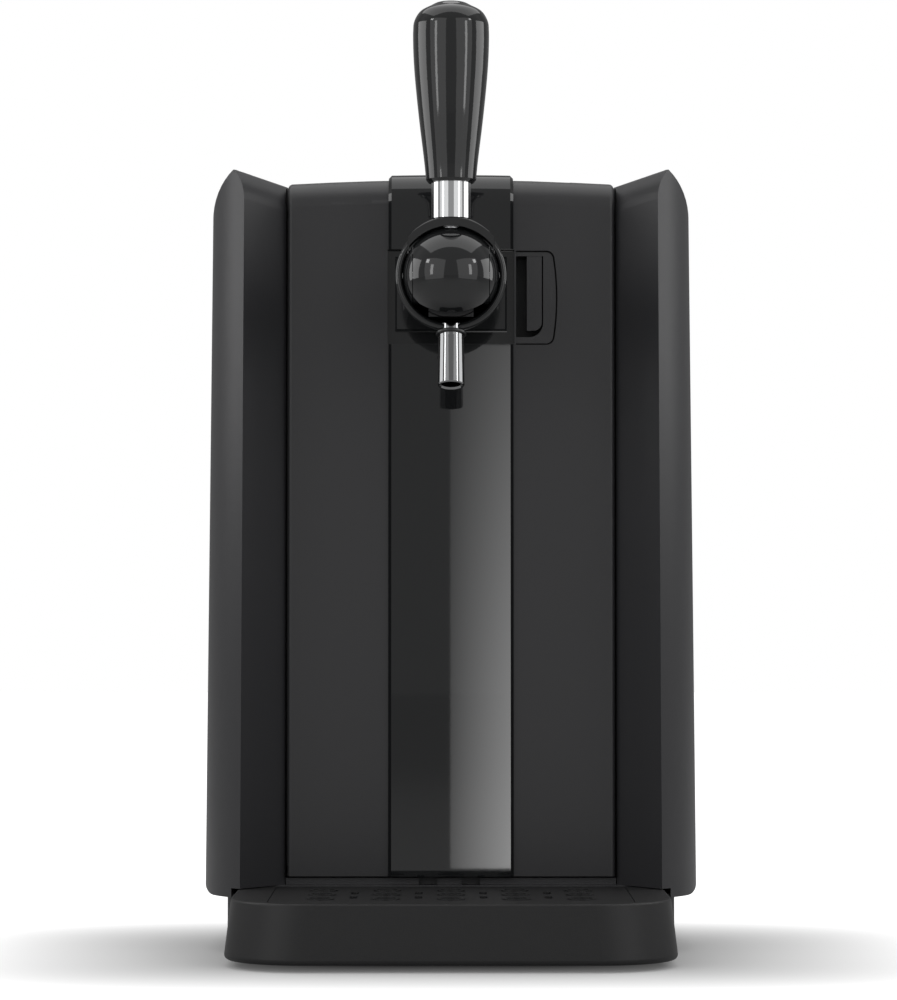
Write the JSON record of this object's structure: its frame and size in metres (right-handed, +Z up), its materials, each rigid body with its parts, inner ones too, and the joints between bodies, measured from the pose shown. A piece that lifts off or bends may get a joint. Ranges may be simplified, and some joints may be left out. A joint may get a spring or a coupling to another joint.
{
  "type": "beer dispenser",
  "caption": "Counter-top cooled dispenser for a mini keg: hinged front door with a lever tap, crested side shells, drip tray with lift-out grid.",
  "frame": {"origin": "on the counter, under the centre of the bounding box", "axes": "X to the right as seen by the user, Y from the front to the back, Z up"},
  "size_m": [0.2648, 0.4439, 0.4937],
  "materials": {
    "shell_satin": "satin black moulded shell",
    "door_satin": "satin black",
    "gloss_black": "piano black, polished",
    "trim_black": "fine matt",
    "tap_black": "polished black",
    "chrome": "mirror polished",
    "steel": "brushed",
    "aluminium": "mill finish",
    "foam": "rigid foam",
    "liner_white": "smooth moulding",
    "rubber": "matt",
    "seal_grey": "soft matt",
    "ceramic": "ceramic white",
    "board": "solder mask green",
    "pump_grey": "moulded",
    "tube": "clear silicone",
    "display": "dark display",
    "valve_white": "acetal",
    "switch_red": "moulded",
    "tray_black": "satin"
  },
  "bodies": {
    "cabinet": {"side_shell_left": "shell_satin", "side_shell_right": "shell_satin", "top_cover": "shell_satin", "display_window": "gloss_black", "display_module": "display", "rear_panel": "trim_black", "base_plinth": "trim_black", "front_sill": "trim_black", "front_frame": "trim_black", "chamber_liner": "aluminium", "insulation_shell": "foam", "insulation_floor": "foam", "insulation_roof": "foam", "hinge_arm_upper": "steel", "hinge_arm_lower": "steel", "keeper_plate": "steel", "cold_block": "aluminium", "peltier_module": "ceramic", "heat_sink": "aluminium", "fan_frame": "trim_black", "air_pump": "pump_grey", "air_hose": "tube", "air_coupler": "valve_white", "power_supply": "board", "control_board": "board", "mains_inlet": "trim_black", "switch_bezel": "trim_black", "rubber_feet": "rubber", "panel_screws": "steel"},
    "fan": {"fan_rotor": "trim_black"},
    "switch": {"power_rocker": "switch_red"},
    "door": {"door_panel": "door_satin", "door_core": "foam", "door_liner": "liner_white", "door_gasket": "seal_grey", "strip_upper": "gloss_black", "strip_lower": "gloss_black", "tap_plate": "gloss_black", "grip_cup": "trim_black", "hinge_pins": "steel", "door_magnet": "steel", "tap_body": "tap_black", "tap_nut": "valve_white", "valve_block": "valve_white", "cheek_left": "tap_black", "cheek_right": "tap_black", "pivot_pin": "steel", "spout": "chrome", "spout_collar": "rubber", "pinch_spring": "steel"},
    "lever": {"ball_rotor": "tap_black", "lever_hood": "tap_black", "lever_stud": "steel", "handle_ferrule": "chrome", "handle_grip": "tap_black", "handle_cap": "tap_black"},
    "slider": {"pinch_slider": "valve_white"},
    "tray": {"drip_tray": "tray_black"},
    "grid": {"drip_grid": "tray_black"}
  },
  "joints": [
    {"name": "front_door", "type": "hinge", "parent": "cabinet", "child": "door", "pos_m": [-0.0825, -0.097, 0.22], "axis": [0, 0, -1], "range_deg": [0, 95]},
    {"name": "tap_lever", "type": "hinge", "parent": "door", "child": "lever", "pos_m": [0, -0.187, 0.3524], "axis": [1, 0, 0], "range_deg": [0, 30], "stiffness_Nm_per_rad": 0.6, "springref_deg": -20.05},
    {"name": "pinch_slide", "type": "slide", "parent": "door", "child": "slider", "axis": [0, 0, 1], "range_m": [0, 0.0051], "deforming": ["pinch_spring"]},
    {"name": "drip_tray_slide", "type": "slide", "parent": "cabinet", "child": "tray", "axis": [0, -1, 0], "range_m": [0, 0.13]},
    {"name": "drip_grid_lift", "type": "slide", "parent": "tray", "child": "grid", "axis": [0, 0, 1], "range_m": [0, 0.004]},
    {"name": "fan_spin", "type": "hinge", "parent": "cabinet", "child": "fan", "pos_m": [0, 0.1765, 0.232], "axis": [0, 1, 0], "continuous": true},
    {"name": "power_switch", "type": "hinge", "parent": "cabinet", "child": "switch", "pos_m": [0.05, 0.2144, 0.062], "axis": [-1, 0, 0], "range_deg": [0, 18]}
  ],
  "couplings": [
    {"joint": "pinch_slide", "follows": "tap_lever", "m_per_rad": 0.00955}
  ]
}
